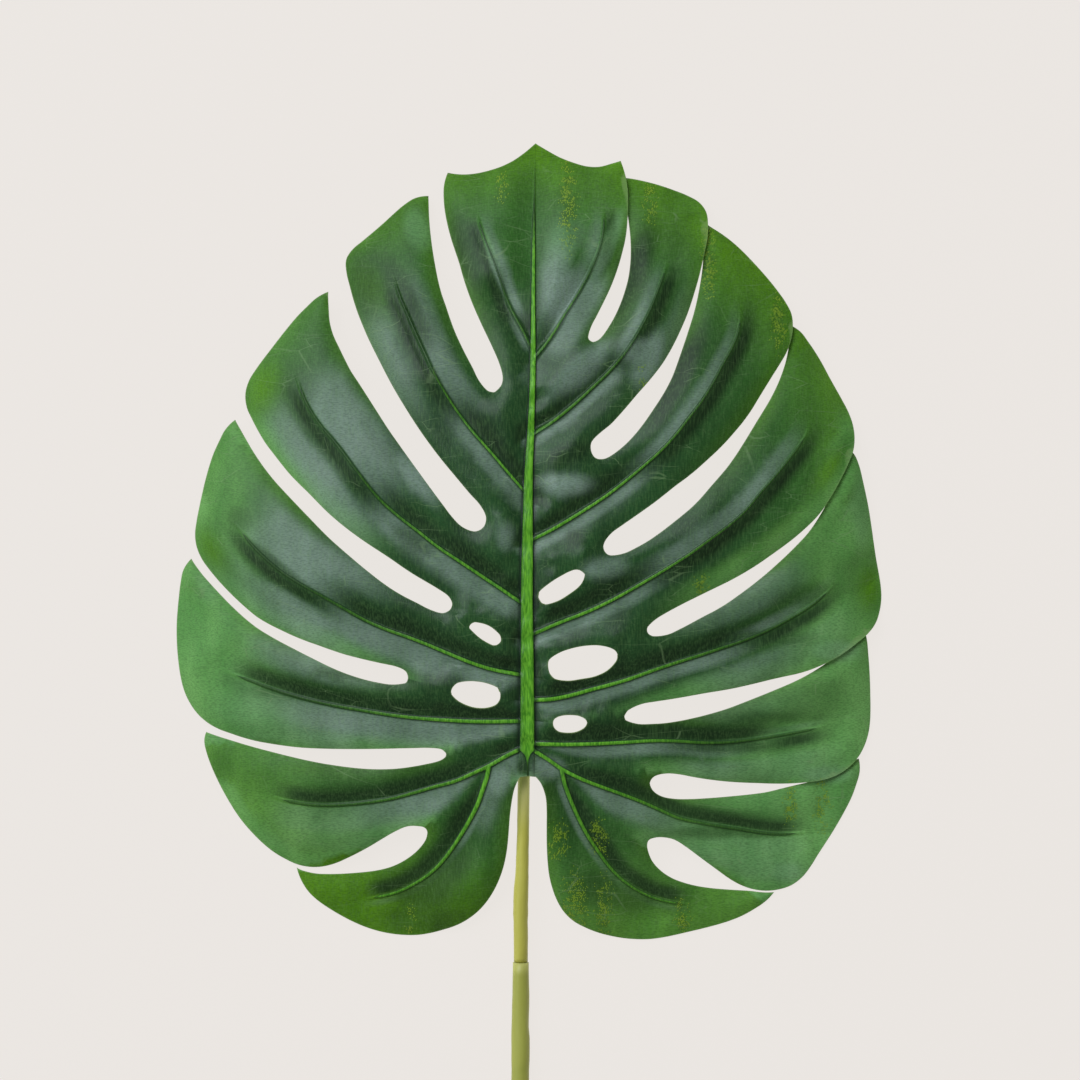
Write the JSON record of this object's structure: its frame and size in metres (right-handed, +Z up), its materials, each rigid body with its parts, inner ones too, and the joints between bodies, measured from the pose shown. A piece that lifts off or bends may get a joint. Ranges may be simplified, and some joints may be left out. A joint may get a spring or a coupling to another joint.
{
  "type": "monstera leaf",
  "caption": "Artificial monstera leaf lying flat: a lobed, holed fabric blade on a moulded rib frame, with a petiole plugged into a straight cut stem.",
  "frame": {"origin": "centre of the leaf's footprint, on the surface it lies on", "axes": "+Y towards the blade's tip, +Z up out of the surface, +X to the right seen from above with the tip away"},
  "size_m": [0.3528, 0.701, 0.0349],
  "materials": {
    "blade_fabric": "printed, satin",
    "rib_plastic": "satin",
    "petiole_plastic": "satin",
    "stem_plastic": "satin"
  },
  "bodies": {
    "root": {"blade": "blade_fabric", "rib_frame": "rib_plastic", "petiole": "petiole_plastic", "stem": "stem_plastic"}
  },
  "joints": []
}
